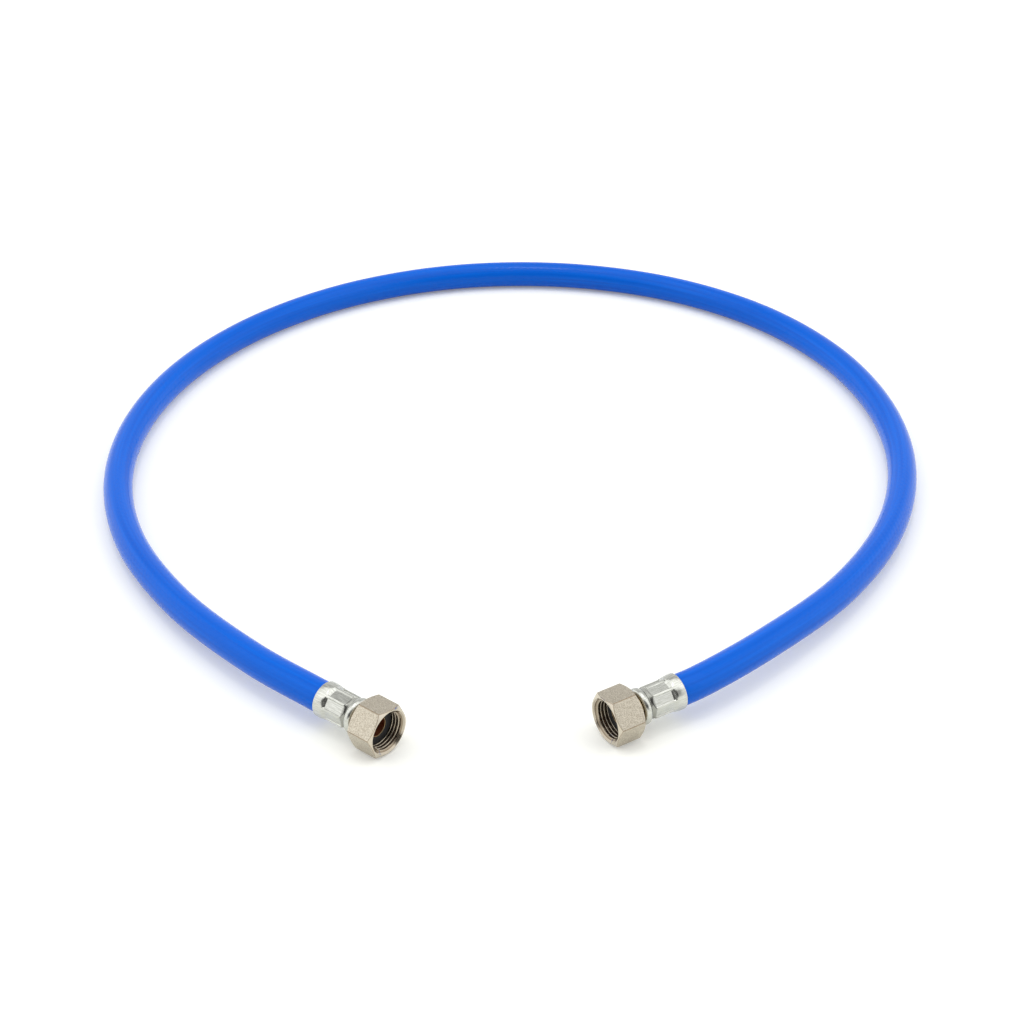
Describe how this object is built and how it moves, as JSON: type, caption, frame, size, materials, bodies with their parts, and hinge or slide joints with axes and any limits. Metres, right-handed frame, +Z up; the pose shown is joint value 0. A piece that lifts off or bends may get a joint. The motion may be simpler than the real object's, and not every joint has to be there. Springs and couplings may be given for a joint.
{
  "type": "flexible hose",
  "caption": "Flexible blue water hose in an open loop, with a crimped metal sleeve and a swivelling hexagon union nut at each end.",
  "frame": {"origin": "on the floor, at the middle of the box around the two end fittings", "axes": "+X from the left fitting to the right one, +Y out over the loop, away from the viewer, +Z up"},
  "size_m": [0.4629, 0.5515, 0.0261],
  "materials": {
    "blue_rubber": "satin extruded cover, smooth, faintly dotted by the reinforcement under it",
    "crimped_steel": "bright zinc-plated pressed steel",
    "nickel_plated_brass": "satin nickel plate with a warm grey tone, fine machining marks",
    "bare_brass": "bare turned brass",
    "black_rubber": "dull moulded rubber"
  },
  "bodies": {
    "hose_and_tails": {"hose": "blue_rubber", "left_ferrule": "crimped_steel", "left_nipple": "bare_brass", "right_ferrule": "crimped_steel", "right_nipple": "bare_brass"},
    "left_union_nut": {"left_nut": "nickel_plated_brass", "left_gasket": "black_rubber"},
    "right_union_nut": {"right_nut": "nickel_plated_brass", "right_gasket": "black_rubber"}
  },
  "joints": [
    {"name": "left_nut_swivel", "type": "hinge", "parent": "hose_and_tails", "child": "left_union_nut", "pos_m": [-0.05205, -0.01438, 0.01267], "axis": [0.768, -0.6399, -0.0262], "continuous": true},
    {"name": "right_nut_swivel", "type": "hinge", "parent": "hose_and_tails", "child": "right_union_nut", "pos_m": [0.04955, -0.00468, 0.0126], "axis": [-0.8555, -0.514, -0.0628], "continuous": true}
  ]
}
